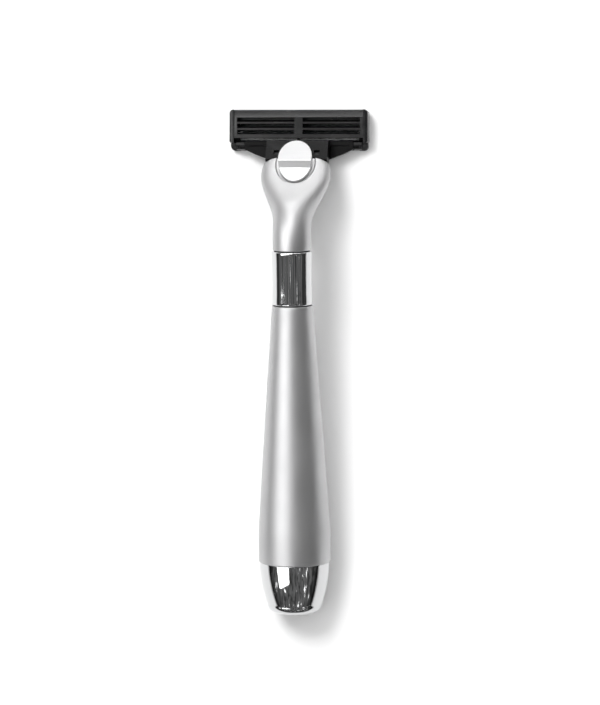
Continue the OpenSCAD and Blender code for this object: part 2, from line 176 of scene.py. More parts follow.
def rod(radius, start, end, matrix, sides=48):
    """A round rod between two points of a local frame."""
    start, end = Vector(start), Vector(end)
    turn = (end - start).to_track_quat("Z", "Y").to_matrix().to_4x4()
    outline = [(radius * math.cos(2 * math.pi * i / sides), radius * math.sin(2 * math.pi * i / sides))
               for i in range(sides)]
    return prism(outline, 0, (end - start).length, matrix @ Matrix.Translation(start) @ turn)


def arc(centre, radius, start, end, steps=8):
    """Points of an arc, from one angle to another in degrees."""
    angles = [math.radians(start + (end - start) * i / steps) for i in range(steps + 1)]
    return [(centre[0] + radius * math.cos(a), centre[1] + radius * math.sin(a)) for a in angles]


def apply_modifiers(target):
    """Replaces an object's mesh with the result of its modifiers."""
    graph = bpy.context.evaluated_depsgraph_get()
    made = bpy.data.meshes.new_from_object(target.evaluated_get(graph), depsgraph=graph)
    target.modifiers.clear()
    target.data = made
    return target


def combine(target, tools, operation="DIFFERENCE"):
    """Cuts, joins or intersects an object with others, which are used up."""
    for tool in tools:
        cut = target.modifiers.new("cut", "BOOLEAN")
        cut.operation = operation
        cut.solver = "EXACT"
        cut.object = tool
        apply_modifiers(target)
    for tool in tools:
        bpy.data.objects.remove(tool)
    tidy_mesh(target)
    return target


def join(target, tools):
    """Joins solids into one."""
    return combine(target, tools, "UNION")


def soften(target, width, segments=2, angle=28):
    """Rounds the edges that are sharper than an angle."""
    edge = target.modifiers.new("edge", "BEVEL")
    edge.width = width
    edge.segments = segments
    edge.limit_method = "ANGLE"
    edge.angle_limit = math.radians(angle)
    edge.miter_outer = "MITER_ARC"
    edge.use_clamp_overlap = True
    apply_modifiers(target)
    even = target.modifiers.new("even", "WEIGHTED_NORMAL")
    even.keep_sharp = True
    even.weight = 80
    return target


def melt(target, size, rounds):
    """Rebuilds an object with small even faces and rounds its edges by smoothing them."""
    skin = target.modifiers.new("skin", "REMESH")
    skin.mode = "VOXEL"
    skin.voxel_size = size
    ease = target.modifiers.new("ease", "SMOOTH")
    ease.factor = 0.5
    ease.iterations = rounds
    return apply_modifiers(target)


def place(made, name, body, material, nodes, sharp=35):
    """Turns a shape in millimetres into a finished piece that rides on a body and stands for CAD nodes."""
    made.name = name
    made.data.name = name
    made.data.transform(Matrix.Scale(MM, 4))
    made.data.materials.clear()
    made.data.materials.append(material)
    made.data.polygons.foreach_set("use_smooth", [True] * len(made.data.polygons))
    made.data.set_sharp_from_angle(angle=math.radians(sharp))
    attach(made, body)
    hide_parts(*nodes)
    return made


# ---------------------------------------------------------------- materials


class Finish:
    """A material with a Principled shader, and short ways to drive its sockets with patterns."""

    def __init__(self, name, colour, roughness, **constants):
        self.material = bpy.data.materials.new(name)
        self.material.use_nodes = True
        self.tree = self.material.node_tree
        self.shader = self.tree.nodes["Principled BSDF"]
        self.shader.inputs["Base Color"].default_value = (*colour, 1)
        self.shader.inputs["Roughness"].default_value = roughness
        for socket, value in constants.items():
            self.shader.inputs[socket.replace("_", " ")].default_value = value
        self.colour = colour
        self.roughness = roughness
        self.place = self.tree.nodes.new("ShaderNodeTexCoord").outputs["Object"]

    def node(self, kind, links=None, **properties):
        """A shader node with its properties set and its sockets linked or filled."""
        made = self.tree.nodes.new(kind)
        for name, value in properties.items():
            setattr(made, name, value)
        for name, source in (links or {}).items():
            socket = made.inputs[name]
            if isinstance(source, bpy.types.NodeSocket):
                self.tree.links.new(source, socket)
            else:
                socket.default_value = source
        return made

    def noise(self, grain_mm, stretch=(1, 1, 1), turn=(0, 0, 0), detail=3.0):
        """A noise pattern with grains of a size in millimetres, longer where stretch is under 1."""
        spot = self.node("ShaderNodeMapping", {"Vector": self.place, "Rotation": turn}).outputs["Vector"]
        spot = self.node("ShaderNodeMapping", {"Vector": spot, "Scale": stretch}).outputs["Vector"]
        links = {"Vector": spot, "Scale": 1 / (grain_mm * MM), "Detail": detail}
        return self.node("ShaderNodeTexNoise", links).outputs["Fac"]

    def spread(self, value, low, high, start=0.35, end=0.65):
        """Maps a pattern between two values."""
        made = self.node("ShaderNodeMapRange", {"Value": value, "From Min": start, "From Max": end,
                                                "To Min": low, "To Max": high})
        return made.outputs["Result"]

    def add(self, a, b, operation="ADD"):
        """The sum of two patterns, or the result of another operation on them."""
        return self.node("ShaderNodeMath", {0: a, 1: b}, operation=operation).outputs[0]

    def vary_roughness(self, pattern, amount, worn=None):
        """Moves the roughness up and down by an amount, and by a second value on worn edges."""
        value = self.spread(pattern, self.roughness - amount, self.roughness + amount)
        if worn is not None:
            value = self.add(value, worn)
        self.tree.links.new(value, self.shader.inputs["Roughness"])

    def vary_colour(self, pattern, low, high):
        """Scales the base colour between two shares of itself, by a noise pattern."""
        self.shade(self.spread(pattern, 0, 1), low, high)

    def shade(self, factor, low, high):
        """Scales the base colour between two shares of itself, by a factor from 0 to 1."""
        colours = [tuple(share * c for c in self.colour) for share in (low, high)]
        mix = self.node("ShaderNodeMix", {"Factor": factor}, data_type="RGBA")
        mix.inputs["A"].default_value = (*colours[0], 1)
        mix.inputs["B"].default_value = (*colours[1], 1)
        self.tree.links.new(mix.outputs["Result"], self.shader.inputs["Base Color"])

    def bump(self, patterns):
        """Relief from patterns, each with its height in millimetres."""
        normal = None
        for pattern, height in patterns:
            links = {"Height": pattern, "Distance": height * MM, "Strength": 1.0}
            if normal is not None:
                links["Normal"] = normal
            normal = self.node("ShaderNodeBump", links).outputs["Normal"]
        self.tree.links.new(normal, self.shader.inputs["Normal"])

    def edges(self, low, high, start=0.52, end=0.6):
        """A value that grows on the piece's raised edges, where it is rubbed."""
        point = self.node("ShaderNodeNewGeometry").outputs["Pointiness"]
        return self.spread(point, low, high, start, end)


# Noise is stretched to fine lines along the handle, which slopes up from the table
ALONG_HANDLE = (1, 0.02, 1)
TURNED_UP = (-handle_pitch, 0, 0)


def satin_metal():
    """Satin nickel: fine blasted grain, faint lines along the handle, edges rubbed a little smoother."""
    made = Finish("satin_metal", (0.6, 0.6, 0.605), 0.5, Metallic=1.0)
    grain = made.noise(0.12, detail=2)
    lines = made.noise(0.25, stretch=ALONG_HANDLE, turn=TURNED_UP, detail=2)
    cloud = made.noise(9)
    made.vary_colour(made.add(lines, cloud, "MULTIPLY"), 0.96, 1.06)
    made.vary_roughness(made.spread(cloud, 0.35, 0.65), 0.03, made.edges(0, -0.06))
    made.bump([(lines, 0.0012), (grain, 0.0022)])
    return made.material


def button_metal():
    """Brighter satin plating of the thumb button."""
    made = Finish("button_metal", (0.67, 0.67, 0.675), 0.36, Metallic=1.0)
    grain = made.noise(0.1, detail=2)
    lines = made.noise(0.2, stretch=(0.03, 1, 1), detail=2)
    made.vary_roughness(lines, 0.02, made.edges(0, -0.05))
    made.vary_colour(lines, 0.98, 1.01)
    made.bump([(grain, 0.0008)])
    return made.material


def polished_chrome():
    """Mirror chrome with faint wiping marks and a slight ripple."""
    made = Finish("polished_chrome", (0.66, 0.665, 0.67), 0.045, Metallic=1.0)
    wipes = made.noise(1.2, stretch=(1, 0.2, 1), detail=5)
    ripple = made.noise(5)
    fine_ripple = made.noise(1.8, stretch=(1, 0.5, 1), detail=1)
    made.vary_roughness(wipes, 0.02)
    made.bump([(ripple, 0.02), (fine_ripple, 0.012)])
    return made.material


def moulded(name, colour, roughness, relief=0.004, **constants):
    """Black moulded plastic with a fine eroded texture and slightly shinier edges."""
    made = Finish(name, colour, roughness, **constants)
    grain = made.noise(0.16, detail=3)
    flow = made.noise(4, stretch=(0.3, 1, 1))
    made.vary_roughness(flow, 0.05, made.edges(0, -0.08))
    made.vary_colour(made.add(flow, made.edges(0, 0.3), "ADD"), 0.85, 1.3)
    made.bump([(flow, 0.01), (grain, relief)])
    return made.material


def rubber(name, colour):
    """Dull rubber with a little dust on it."""
    made = Finish(name, colour, 0.72)
    dust = made.noise(0.3, detail=4)
    made.vary_roughness(dust, 0.08)
    made.vary_colour(dust, 0.8, 1.5)
    made.bump([(dust, 0.01)])
    return made.material


def strip_plastic():
    """Waxy lubricating strip with long streaks from its extrusion."""
    made = Finish("strip_plastic", (0.70, 0.73, 0.70), 0.42, Subsurface_Weight=0.15, Subsurface_Scale=0.0006)
    streaks = made.noise(0.3, stretch=(0.02, 1, 1), detail=4)
    made.vary_colour(streaks, 0.9, 1.05)
    made.vary_roughness(streaks, 0.08)
    made.bump([(streaks, 0.006)])
    return made.material


def brushed(name, colour, roughness, stretch):
    """Bare metal with machining lines in one direction."""
    made = Finish(name, colour, roughness, Metallic=1.0)
    lines = made.noise(0.08, stretch=stretch, detail=3)
    stain = made.noise(3, detail=4)
    made.vary_roughness(lines, 0.07)
    made.vary_colour(stain, 0.88, 1.05)
    made.bump([(lines, 0.002)])
    return made.material


FINISHES = {
    "satin_metal": satin_metal(),
    "button_metal": button_metal(),
    "polished_chrome": polished_chrome(),
    "black_plastic": moulded("black_plastic", (0.016, 0.016, 0.0165), 0.5),
    "yoke_plastic": moulded("yoke_plastic", (0.004, 0.004, 0.0041), 0.34, Specular_IOR_Level=0.1),
    "cartridge_plastic": moulded("cartridge_plastic", (0.009, 0.009, 0.0092), 0.33, Specular_IOR_Level=0.4),
    "clip_black": moulded("clip_black", (0.007, 0.007, 0.0072), 0.28, relief=0.002, Specular_IOR_Level=0.4),
    "fin_rubber": rubber("fin_rubber", (0.045, 0.047, 0.05)),
    "seal_rubber": rubber("seal_rubber", (0.02, 0.02, 0.02)),
    "strip_plastic": strip_plastic(),
    "blade_steel": brushed("blade_steel", (0.80, 0.80, 0.81), 0.16, (0.6, 0.02, 1)),
    "plain_steel": brushed("plain_steel", (0.52, 0.53, 0.54), 0.34, (1, 0.05, 1)),
    "spring_steel": brushed("spring_steel", (0.46, 0.47, 0.48), 0.3, (0.05, 1, 1)),
    "weight_brass": brushed("weight_brass", (0.70, 0.52, 0.24), 0.32, (1, 0.05, 1)),
}
SLOT_OF = {part["node"]: part["material_slot"] for part in record["subparts"]}
BODY_OF = {node: body for body, nodes in record["behaviour"]["bodies"].items() for node in nodes}


def replace(made, node, name=None, sharp=35):
    """The shape takes a CAD node's place, with the node's own body and finish."""
    return place(made, name or node + "_detailed", BODY_OF[node], FINISHES[SLOT_OF[node]],
                 [node], sharp)


# CAD nodes that stay as they are get the finish of their slot
for node, carried in frame["nodes"].items():
    carried.data.materials.clear()
    carried.data.materials.append(FINISHES[SLOT_OF[node]])


def squeeze(node):
    """Gives a coil spring, which shortens along the nose towards its fixed end as the joint moves, a mesh of its
    own.
    """
    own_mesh(frame["nodes"][node])


squeeze("button_spring_left")
squeeze("button_spring_right")
squeeze("plunger_spring")

# ---------------------------------------------------------------- handle

body_low, body_high = along_handle("handle_body")
collar_low, collar_high = along_handle("collar_ring")
neck_base = along_handle("neck_gasket")[1]
body_end_r = 10.65
body_top_r = 6.0
body_straight = 8.8
taper_power = 1.05
body_mouth_r = 8.5
mouth_depth = 6.5
weight_bore_r = 6.2
weight_bore_end = 70
tie_rod_hole_r = 2.3
sleeve_seat = 8
cap_r = 10.4
cap_corner_r = 2.6
cap_tip_share = 0.79
cap_wall = 4
spigot_r = 8.4
spigot_tip_r = 8.1
spigot_bore_r = 6
spigot_len = 5.5
seal_groove = (2.6, 3.7)
seal_groove_r = 7.55
seal_r = 8.02
collar_r = 6.0
joint_bore_r = 4.3


def body_radius(s):
    """Outer radius of the body: straight at its wide end, then tapering to the collar."""
    u = max(0, s - body_low - body_straight) / (body_high - body_low - body_straight)
    return body_end_r - (body_end_r - body_top_r) * u ** taper_power


def handle_body():
    """The grip's tube, with a bore for the weight and a seat for the centring sleeve."""
    round_r = 0.3
    mouth = arc((body_end_r - round_r, body_low + round_r), round_r, -90, 0, 6)
    steps = 60
    start, end = body_low + round_r + 0.1, body_high - 0.22
    outside = [(body_radius(start + (end - start) * i / steps), start + (end - start) * i / steps)
               for i in range(steps + 1)]
    lip = arc((body_top_r - 0.18, body_high - 0.18), 0.18, 10, 90, 5)
    seat = body_high - sleeve_seat
    mouth_end = body_low + mouth_depth
    inside = [(joint_bore_r, body_high), (joint_bore_r, seat), (tie_rod_hole_r, seat),
              (tie_rod_hole_r, weight_bore_end), (weight_bore_r, weight_bore_end), (weight_bore_r, mouth_end),
              (body_mouth_r, mouth_end), (body_mouth_r, body_low)]
    replace(lathe("body", mouth + outside + lip + inside, 192), "handle_body", "body_tube")


def end_cap():
    """The cap: a flat tip, a round corner, a bulging side, and a grooved spigot inside the body."""
    tip_r = cap_r * cap_tip_share
    corner = arc((tip_r - cap_corner_r, cap_corner_r), cap_corner_r, -90, 0, 12)
    steps = 40
    length = body_low - cap_corner_r
    side = [(tip_r + (cap_r - tip_r) * (1 - (1 - i / steps) ** 2), cap_corner_r + length * i / steps)
            for i in range(1, steps)]
    rim = arc((cap_r - 0.12, body_low - 0.12), 0.12, 0, 90, 4)
    groove_low, groove_high = (body_low + s for s in seal_groove)
    spigot_end = body_low + spigot_len
    spigot = [(spigot_r, body_low), (spigot_r, groove_low), (seal_groove_r, groove_low),
              (seal_groove_r, groove_high), (spigot_r, groove_high), (spigot_r, spigot_end - 0.4),
              (spigot_tip_r, spigot_end), (spigot_bore_r, spigot_end), (spigot_bore_r, cap_wall)]
    outline = [(0, 0)] + corner + side + rim + spigot + [(0, cap_wall)]
    replace(lathe("cap", outline, 192), "end_cap", "end_cap_polished")


def collar_ring():
    """The collar: a slightly hollow side between two rounded lips."""
    waist = 0.1
    lip = 0.36
    steps = 24
    low, high = collar_low, collar_high
    span = high - low - 2 * lip
    outside = [(collar_r - waist * math.sin(math.pi * i / steps), low + lip + span * i / steps)
               for i in range(steps + 1)]
    first = arc((collar_r - lip, low + lip), lip, -90, -12, 6)
    last = arc((collar_r - lip, high - lip), lip, 12, 90, 6)
    outline = [(joint_bore_r, low)] + first + outside + last + [(joint_bore_r, high)]
    replace(lathe("collar", outline, 160), "collar_ring", "collar_polished")


def gasket(node, outer):
    """A thin joint ring whose rim is rounded where the two parts squeeze it."""
    low, high = along_handle(node)
    half = (high - low) / 2
    rim = arc((outer - half, low + half), half, -90, 90, 8)
    replace(lathe(node, [(joint_bore_r, low)] + rim + [(joint_bore_r, high)], 128), node, node + "_squeezed")


def o_ring():
    """The cap's seal, a round cord in the spigot's groove."""
    low, high = along_handle("cap_o_ring")
    cord = (high - low) / 2
    section = arc((seal_r, low + cord), cord, 0, 345, 23)
    replace(lathe("o_ring", section, 128), "cap_o_ring", "cap_seal")


handle_body()
end_cap()
collar_ring()
gasket("body_gasket", 5.6)
gasket("neck_gasket", 5.3)
o_ring()

# ---------------------------------------------------------------- neck and head

neck_r = 5.65
head_w = 20.6
bend_r = 15
head_front_r = 43
# Distances from the collar where the neck starts to flatten, to widen and to get squarer
flatten_from = 5
widen_from = 7.5
square_from = 8
settled_before_end = 6
squareness = 0.7
neck_base_y, neck_base_z = (HANDLE @ Vector((0, 0, neck_base))).yz
bend_angle = head_slope + handle_pitch
corner_y = ((nose_z + nose_y * math.tan(head_slope) - neck_base_z + neck_base_y * math.tan(handle_pitch))
            / (math.tan(head_slope) + math.tan(handle_pitch)))
bend_tangent = bend_r * math.tan(bend_angle / 2)
straight_1 = (corner_y - neck_base_y) / math.cos(handle_pitch) - bend_tangent
bend_len = bend_r * bend_angle
straight_2 = (nose_y - corner_y) / math.cos(head_slope) - bend_tangent
neck_len = straight_1 + bend_len + straight_2
front_taper = 4.8
front_narrowing = 0.9


def smooth_step(u, start, end):
    """Eases from 0 to 1 between two places."""
    t = min(1, max(0, (u - start) / (end - start)))
    return t * t * (3 - 2 * t)


def heading(u):
    """Direction of the neck's centre line at a distance from the collar, in radians above the horizontal."""
    return handle_pitch - min(bend_angle, max(0, u - straight_1) / bend_r)


def centre(u):
    """Point of the neck's centre line: straight, round the bend, then straight down the slope."""
    if u < straight_1:
        return neck_base_y + u * math.cos(handle_pitch), neck_base_z + u * math.sin(handle_pitch)
    bent = heading(u)
    past = max(0, u - straight_1 - bend_len)
    y = (neck_base_y + straight_1 * math.cos(handle_pitch)
         + bend_r * (math.sin(handle_pitch) - math.sin(bent)) + past * math.cos(head_slope))
    z = (neck_base_z + straight_1 * math.sin(handle_pitch)
         + bend_r * (math.cos(bent) - math.cos(handle_pitch)) - past * math.sin(head_slope))
    return y, z


def neck_section(u, sides):
    """One ring of the neck: a circle at the collar, and a wide flat rounded shape at the head."""
    widest = neck_len - front_taper
    settled = neck_len - settled_before_end
    half_w = (neck_r + (head_w / 2 - neck_r) * smooth_step(u, widen_from, widest)
              - front_narrowing * (max(0, u - widest) / front_taper) ** 2)
    half_t = neck_r + (head_t / 2 - neck_r) * smooth_step(u, flatten_from, settled)
    power = 2 / (2 + squareness * smooth_step(u, square_from, settled))
    y, z = centre(u)
    ring = []
    for i in range(sides):
        a = 2 * math.pi * i / sides
        across = half_w * math.copysign(abs(math.cos(a)) ** power, math.cos(a))
        up = half_t * math.copysign(abs(math.sin(a)) ** power, math.sin(a))
        ring.append((across, y - up * math.sin(heading(u)), z + up * math.cos(heading(u))))
    return ring


button_w = 10
button_len = 14.4
button_v = -2.34
pocket_rim = 0.9
pocket_floor = 2.55
screw_x = 5.3
screw_v = -9.4
screw_hole_r = 0.65
screw_head_hole_r = 1.3


def oval(half_x, half_y, v, steps=96):
    """Points of an ellipse round a place along the nose."""
    return [(half_x * math.cos(2 * math.pi * i / steps), v + half_y * math.sin(2 * math.pi * i / steps))
            for i in range(steps)]


def head_front(extra, half_depth):
    """A tall disc in the nose's frame, whose round edge is the front of the head."""
    rim = arc((0, 0), head_front_r + extra, 0, 359, 360)
    return prism([(x, y - head_front_r) for x, y in rim], -half_depth, half_depth, NOSE)


def neck_shell():
    """Neck and head in one skin, with the button's pocket, the room for the nose and the screw holes."""
    rings = 110
    reach = neck_len + 3
    skin = loft("neck", [neck_section(reach * i / rings, 144) for i in range(rings + 1)])
    combine(skin, [head_front(0, 30)], "INTERSECT")
    pocket = oval(button_w / 2 + pocket_rim, button_len / 2 + pocket_rim, button_v)
    tray_room = block((-7, -10.6, -2), (7, 2, 1.6), NOSE)
    fork_room = block((-8.4, -6.7, -1), (8.4, 2, 1.45), NOSE)
    rivet_slot = block((-1.9, -7.7, 1), (1.9, -1.9, 4), NOSE)
    cuts = [prism(pocket, pocket_floor, 9, NOSE), tray_room, fork_room, rivet_slot]
    for x in (-screw_x, screw_x):
        cuts.append(rod(screw_hole_r, (x, screw_v, -6), (x, screw_v, 0), NOSE))
        cuts.append(rod(screw_head_hole_r, (x, screw_v, -6), (x, screw_v, -2.5), NOSE))
    combine(skin, cuts)
    melt(skin, 0.16, 5)
    bore = rod(joint_bore_r, (0, 0, neck_base - 1), (0, 0, neck_base + 4), HANDLE, 96)
    replace(combine(skin, [bore]), "neck_shell", "neck_and_head", sharp=60)


neck_shell()

# ---------------------------------------------------------------- button


def release_button():
    """An oval button: a sloping front pad, a step for the thumb, and a lower rear pad."""
    half = button_len / 2
    back, front = button_v - half, button_v + half
    made = prism(oval(button_w / 2, half, button_v, 128), 2, 8, NOSE)
    outline = [(back - 1, 2.85), (front + 1, 2.85), (front + 1, 4.27), (-3.3, 5.6), (-3.55, 5.58),
               (-5.05, 3.98), (-5.3, 3.9), (back - 1, 3.42)]
    combine(made, [prism(outline, -button_w, button_w, NOSE, along="x")], "INTERSECT")
    replace(soften(made, 0.28, 4, 20), "release_button", "thumb_button")


release_button()

# ---------------------------------------------------------------- cartridge

cart_w = 41.5
cart_h = 12.1
cart_t = 6.6
frame_half_w = 19.35
slot_in_x = 1.22
slot_out_x = 18.4
first_slot_y = -2.4
slot_pitch = 1.85
slot_h = 1.35
block_low_y = -8.5
frame_low_z = 0.32
blade_pocket_z = 3
slot_low_z = 2.5
slot_slant = 0.45
wall_x = 18.6
wall_half = 0.75
lug_x = 17.6
lug_half = 1.2
fin_half_w = 17.4
fin_count = 5
fin_pitch = 0.65
strip_half_w = 17.45
blade_half_w = 17.5
blade_tilt = 22
blade_low_z = 0.12
support_half_w = 18.25
pivot_seat_y = pivot.y - cart_top_y
pivot_pin_r = 0.7


def mirrored(build):
    """Builds the same shape on both sides: build takes -1 and then 1."""
    return [build(side) for side in (-1, 1)]


def side_block(side, inner, outer, y, z, matrix):
    """A box between two distances from the middle, on one side."""
    x = sorted((side * inner, side * outer))
    return block((x[0], y[0], z[0]), (x[1], y[1], z[1]), matrix)


def cross_bar(section, half_w, middle=0.0):
    """A bar across the cartridge, from its section of (y, z) points."""
    return prism(section, middle - half_w, middle + half_w, CARTRIDGE, along="x")


def guard_lobe(side):
    """The guard's end, with a rounded outer corner and a small step at its inner side."""
    corner_r = 1.3
    outline = [(17.4, -9.9), (17.4, -cart_h + 0.5), (17.9, -cart_h)]
    outline += arc((19.3, -cart_h + corner_r), corner_r, -90, 0, 8) + [(20.6, -9.9)]
    made = prism([(side * x, y) for x, y in outline], frame_low_z, cart_t, CARTRIDGE)
    low_y = -cart_h - 0.1
    slope = [(-9.8, frame_low_z), (-9.8, 3.6), (-10.5, 3.6), (low_y, 1.8), (low_y, frame_low_z)]
    return combine(made, [cross_bar(slope, 21)], "INTERSECT")


def cartridge_frame():
    """The slotted frame: a chamfered bar over the blades, and the guard with its lobes, walls and lugs."""
    section = [(block_low_y, frame_low_z), (-0.3, frame_low_z), (0, 1), (0, 4.6), (-0.85, 5.5),
               (-2.3, cart_t), (block_low_y, cart_t)]
    made = cross_bar(section, frame_half_w)
    guard = [(-8.9, 0.9), (-8.9, 1.2), (-9.5, 2), (-cart_h + 0.1, 2), (-cart_h + 0.1, 0.9)]
    join(made, [cross_bar(guard, frame_half_w)])
    join(made, mirrored(guard_lobe))
    wall = [(-8.3, frame_low_z), (-8.3, 3.6), (-8.9, 3), (-10, 2.4), (-10, frame_low_z)]
    join(made, mirrored(lambda s: cross_bar(wall, wall_half, s * wall_x)))
    # Lugs that hold the yoke's pins, sloping down to the guard
    slope = [(-9.8, 0.9), (-9.8, 5.2), (-10.55, 5.2), (-11.75, 4.45), (-12, 3.9), (-12, 0.9)]
    join(made, mirrored(lambda s: cross_bar(slope, lug_half, s * lug_x)))
    blade_room = block((-18.3, block_low_y - 0.3, -1), (18.3, -3, blade_pocket_z), CARTRIDGE)
    strip_room = block((-17.5, -3.2, -1), (17.5, -0.5, 0.8), CARTRIDGE)
    combine(made, [blade_room, strip_room])
    slots = []
    for row in range(3):
        y = first_slot_y - row * slot_pitch
        opening = [(y, cart_t + 1), (y, slot_low_z), (y - slot_slant, slot_low_z),
                   (y - slot_h, cart_t - 0.1), (y - slot_h, cart_t + 1)]
        slots += [prism(opening, slot_in_x, slot_out_x, CARTRIDGE, along="x"),
                  prism(opening, -slot_out_x, -slot_in_x, CARTRIDGE, along="x")]
    combine(made, slots)
    combine(made, mirrored(lambda s: rod(pivot_pin_r + 0.05, (s * 16.3, pivot_seat_y, pivot.z),
                                         (s * 17.9, pivot_seat_y, pivot.z), CARTRIDGE)))
    replace(soften(made, 0.09, 2), "cartridge_frame", "slotted_frame")


def guard_fins():
    """Thin leaning fins on a strip of rubber."""
    first_y = -cart_h + 0.25
    made = block((-fin_half_w, first_y, 0.45), (fin_half_w, -9, 0.9), CARTRIDGE)
    tips = []
    for i in range(fin_count):
        y = first_y + fin_pitch * i
        tips.append(cross_bar([(y, 0.5), (y + 0.06, 0.02), (y + 0.16, 0), (y + 0.35, 0.5)], fin_half_w))
    replace(soften(join(made, tips), 0.03, 1), "guard_fins", "rubber_fins")


def lubricating_strip():
    """The strip behind the blades, flush with the skin side."""
    outline = [(-2.95, 0.78), (-2.95, 0.15), (-2.6, 0), (-0.9, 0), (-0.55, 0.2), (-0.55, 0.78)]
    replace(soften(cross_bar(outline, strip_half_w), 0.12, 3), "lubricating_strip", "waxy_strip")


def end_clip(side, node):
    """A column that wraps the end of the frame, rounded at its top corner and along its outer edges."""
    outer = cart_w / 2
    low_y, high_y, high_z = -9.9, -0.05, cart_t + 0.3
    plan = [(frame_half_w, high_y), (frame_half_w, low_y), (outer - 0.4, low_y), (outer, low_y + 0.4)]
    plan += arc((outer - 1.2, high_y - 1.2), 1.2, 0, 90, 8)
    across = [(frame_half_w, 0.33), (outer - 0.5, 0.33)] + arc((outer - 0.6, 0.93), 0.6, -75, 0, 6)
    across += arc((outer - 0.9, high_z - 0.9), 0.9, 0, 90, 8) + [(frame_half_w, high_z)]
    plan = [(side * x, y) for x, y in plan]
    across = [(side * x, z) for x, z in across]
    made = prism(plan, 0.2, 8, CARTRIDGE)
    combine(made, [prism(across, -12, 1, CARTRIDGE, along="y")], "INTERSECT")
    replace(soften(made, 0.16, 3, 40), node, "end_column_" + node.split("_")[-1])


def blades():
    """Three blades with a ground edge, each on its bent support."""
    low = {n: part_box(f"blade_{n}")[0].y / MM - cart_top_y for n in (1, 2, 3)}
    for n, edge_y in low.items():
        spot = CARTRIDGE @ Matrix.Translation((0, edge_y, blade_low_z))
        tilted = spot @ Matrix.Rotation(math.radians(blade_tilt), 4, "X")
        ground = [(0, 0), (1.25, 0), (1.25, 0.1), (0.34, 0.1), (0.12, 0.045)]
        made = prism(ground, -blade_half_w, blade_half_w, tilted, along="x")
        replace(made, f"blade_{n}", f"blade_{n}_ground", sharp=8)
        bent = [(0.35, 0.26), (1.1, 0.56), (1.3, 0.66), (1.4, 0.83), (1.4, 2.3), (1.15, 2.3), (1.15, 1.0),
                (1.05, 0.87), (0.3, 0.56)]
        made = prism(bent, -support_half_w, support_half_w, spot, along="x")
        replace(soften(made, 0.04, 2, 40), f"blade_support_{n}", f"blade_support_{n}_bent")


cartridge_frame()
guard_fins()
lubricating_strip()
end_clip(-1, "end_clip_left")
end_clip(1, "end_clip_right")
blades()

# ---------------------------------------------------------------- yoke

wing_half_w = 16.2
wing_low = -16.0
wing_arc_r = 33.8
wing_z = (3.3, 5.5)
yoke_front_y = -9.45
block_half_w = 9.2
block_half_t = 2.55
nose_half_w = 6.9
nose_half_t = 1.5
nose_len = 4.6
nose_room = 0.25
plunger_w = -0.15
plunger_foot_r = 0.9
plunger_tip_r = 0.6
plunger_tip_v = 8.49
latch_x = 6
latch_half_w = 0.85


def wing_outline(inset, top):
    """The moustache: an arc below, cut off at both ends and along the top."""
    centre_y = wing_low + wing_arc_r
    radius = wing_arc_r - inset
    half = wing_half_w - inset
    reach = math.degrees(math.asin(half / radius))
    return arc((0, centre_y), radius, -90 - reach, -90 + reach, 40) + [(half, top), (-half, top)]


def yoke():
    """The carrier: two hollow wings, the socket for the nose, latch windows and the two pivot pins."""
    made = prism(wing_outline(0, yoke_front_y), *wing_z, CARTRIDGE)
    # The wings' top is hollowed between a rim along the arc and a ridge along the front
    hollow = prism(wing_outline(0.65, yoke_front_y - 1.25), wing_z[1] - 0.3, 9, CARTRIDGE)
    groove = block((-wing_half_w + 1.2, yoke_front_y - 1.6, wing_z[1] - 1.3),
                   (wing_half_w - 1.2, yoke_front_y - 1.25, 9), CARTRIDGE)
    combine(made, [hollow, groove])
    socket = block((-block_half_w, -2, -block_half_t), (block_half_w, 12, block_half_t), NOSE)
    combine(socket, [head_front(0.15, 6)])
    keep = block((-40, -60, wing_z[0]), (40, yoke_front_y, 40), CARTRIDGE)
    combine(socket, [keep], "INTERSECT")
    # Deep grooves set the socket off from the wings
    combine(made, mirrored(lambda s: side_block(s, block_half_w, block_half_w + 0.45,
                                                (-30, yoke_front_y - 1.2), (wing_z[0] + 0.7, 9), CARTRIDGE)))
    join(made, [socket])
    pin_end = wing_half_w + 1.5
    join(made, [rod(pivot_pin_r, (-pin_end, pivot_seat_y, pivot.z), (pin_end, pivot_seat_y, pivot.z),
                    CARTRIDGE)])
    room_w, room_t = nose_half_w + nose_room, nose_half_t + nose_room
    cuts = [block((-room_w, -3, -room_t), (room_w, nose_len + 0.35, room_t), NOSE),
            rod(1, (0, 4, plunger_w), (0, 12, plunger_w), NOSE)]
    cuts += mirrored(lambda s: block((s * latch_x - latch_half_w, 1.1, 1),
                                     (s * latch_x + latch_half_w, 2.7, 4), NOSE))
    combine(made, cuts)
    replace(soften(made, 0.1, 2), "yoke", "carrier_yoke")


def plunger():
    """A pin with a wider foot for the spring, and a round tip."""
    made = rod(plunger_foot_r, (0, 0.85, plunger_w), (0, 1.85, plunger_w), NOSE)
    dome = arc((0, plunger_tip_v), plunger_tip_r, 0, 90, 10)
    outline = [(0, 1.6), (plunger_tip_r, 1.6)] + dome[:-1] + [(0, plunger_tip_v + plunger_tip_r)]
    points, faces = [], []
    sides = 48
    for i in range(sides):
        a = 2 * math.pi * i / sides
        points += [(r * math.cos(a), v, plunger_w + r * math.sin(a)) for r, v in outline]
    for i in range(sides):
        for k in range(len(outline) - 1):
            a, b = i * len(outline) + k, (i + 1) % sides * len(outline) + k
            faces.append((a, b, b + 1, a + 1))
    join(made, [mesh_object("pin", points, faces, NOSE)])
    replace(made, "plunger", "push_pin")


yoke()
plunger()
